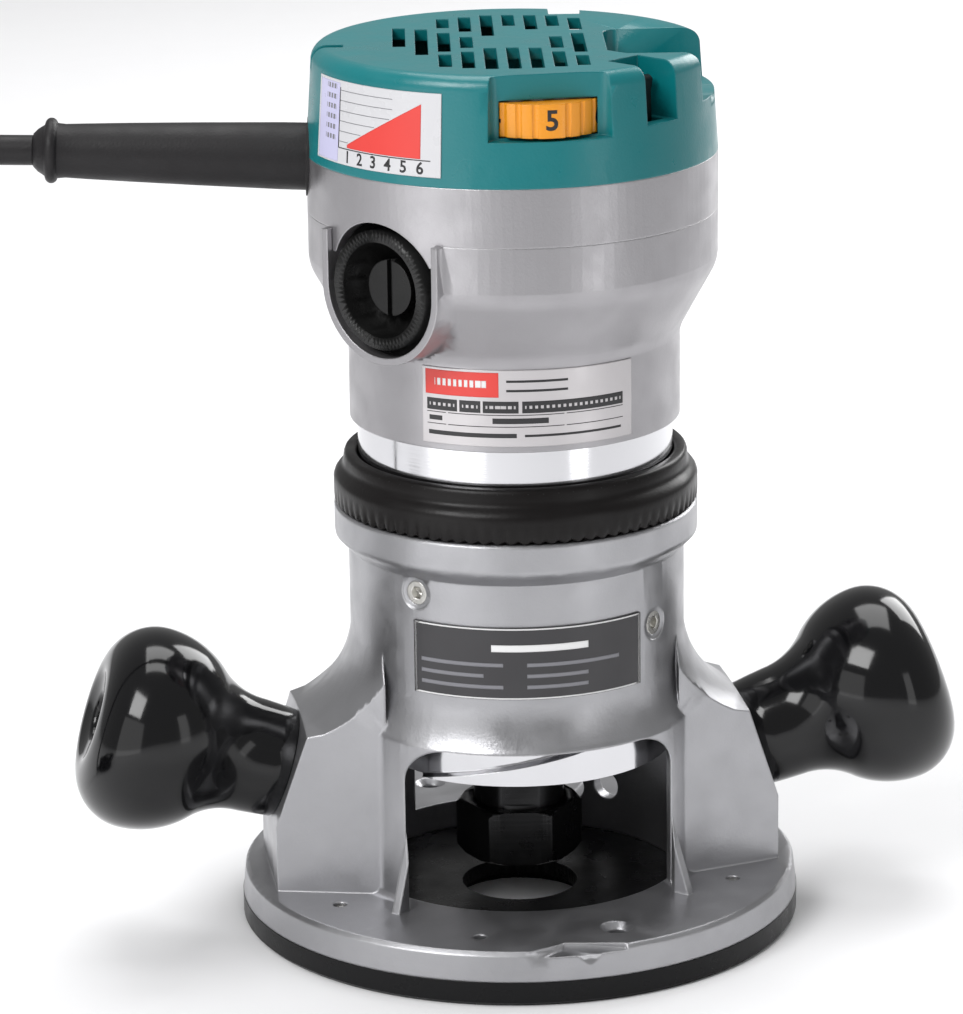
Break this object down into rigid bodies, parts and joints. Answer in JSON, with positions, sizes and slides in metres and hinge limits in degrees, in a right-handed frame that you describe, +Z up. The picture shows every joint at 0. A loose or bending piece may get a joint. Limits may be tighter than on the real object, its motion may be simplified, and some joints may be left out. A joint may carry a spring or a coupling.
{
  "type": "router power tool",
  "caption": "Fixed-base woodworking router: a motor that screws up and down in a cast base, with two side knobs, depth ring, collet and power cord.",
  "frame": {"origin": "centre of the sub-base's underside, on the spindle's axis", "axes": "+Z up along the spindle, +X through the right-hand knob, the chip window faces -Y"},
  "size_m": [0.472, 0.146, 0.2303],
  "materials": {
    "cast_aluminium": "satin painted casting",
    "housing_paint": "silver metallic paint",
    "bright_steel": "bright turned",
    "dark_steel": "blackened",
    "zinc_steel": "zinc plated",
    "knob_black": "glossy",
    "sub_base_black": "satin",
    "ring_black": "satin",
    "cover_teal": "semi gloss moulding",
    "dial_amber": "moulded",
    "black_plastic": "moulded",
    "label_grey": "printed plate",
    "label_white": "printed film",
    "label_silver": "printed foil",
    "laminated_steel": "varnished laminations",
    "copper": "enamelled copper",
    "carbon": "carbon",
    "board_green": "circuit board",
    "cord_rubber": "matt rubber"
  },
  "bodies": {
    "base": {"base_casting": "cast_aluminium", "sub_base": "sub_base_black", "sub_base_screws": "zinc_steel", "guide_pins": "zinc_steel", "knob_left": "knob_black", "knob_right": "knob_black", "knob_bolts": "zinc_steel", "clamp_bolt": "zinc_steel", "clamp_washer": "zinc_steel", "base_nameplate": "label_grey"},
    "clamp_lever": {"lock_lever": "black_plastic"},
    "scale_ring": {"depth_ring": "ring_black", "cord_coil": "cord_rubber", "cord_tie": "black_plastic", "plug_body": "cord_rubber", "plug_blades": "bright_steel"},
    "motor": {"motor_housing": "housing_paint", "housing_ring": "housing_paint", "top_cover": "cover_teal", "housing_screws": "zinc_steel", "speed_potentiometer": "black_plastic", "power_switch": "black_plastic", "speed_controller": "board_green", "brush_holders": "black_plastic", "brush_caps": "black_plastic", "carbon_brushes": "carbon", "brush_springs": "zinc_steel", "stator_core": "laminated_steel", "stator_windings": "copper", "lower_bearing": "bright_steel", "upper_bearing": "bright_steel", "fan_baffle": "black_plastic", "rating_plate": "label_silver", "speed_chart_label": "label_white", "cord_guard": "cord_rubber", "cord_clamp": "black_plastic", "power_cord": "cord_rubber"},
    "dial": {"speed_dial": "dial_amber"},
    "toggle": {"switch_lever": "black_plastic"},
    "rotor": {"spindle": "dark_steel", "armature_core": "laminated_steel", "armature_windings": "copper", "commutator": "copper", "cooling_fan": "black_plastic", "collet_cone": "dark_steel"},
    "nut": {"collet_nut": "dark_steel"}
  },
  "joints": [
    {"name": "ring_turn", "type": "hinge", "parent": "base", "child": "scale_ring", "pos_m": [0, 0, 0.1], "axis": [0, 0, 1], "range_deg": [-70, 250]},
    {"name": "motor_lift", "type": "slide", "parent": "scale_ring", "child": "motor", "axis": [0, 0, 1], "range_m": [-0.0092, 0.0321]},
    {"name": "speed_set", "type": "hinge", "parent": "motor", "child": "dial", "pos_m": [0.00123, -0.03528, 0.2195], "axis": [0, 0, 1], "range_deg": [-54, 216]},
    {"name": "switch_toggle", "type": "hinge", "parent": "motor", "child": "toggle", "pos_m": [0.02605, -0.03396, 0.2115], "axis": [0.7934, 0.6088, 0], "range_deg": [-9, 9]},
    {"name": "clamp_lever_turn", "type": "hinge", "parent": "base", "child": "clamp_lever", "pos_m": [0.0161, 0.0505, 0.085], "axis": [1, 0, 0], "range_deg": [0, 85]},
    {"name": "spindle_spin", "type": "hinge", "parent": "motor", "child": "rotor", "pos_m": [0, 0, 0.1], "axis": [0, 0, 1], "continuous": true},
    {"name": "collet_nut_turn", "type": "hinge", "parent": "rotor", "child": "nut", "pos_m": [0, 0, 0.0225], "axis": [0, 0, 1], "range_deg": [-360, 0]}
  ],
  "couplings": [
    {"joint": "motor_lift", "follows": "ring_turn", "m_per_rad": 0.0073211}
  ]
}
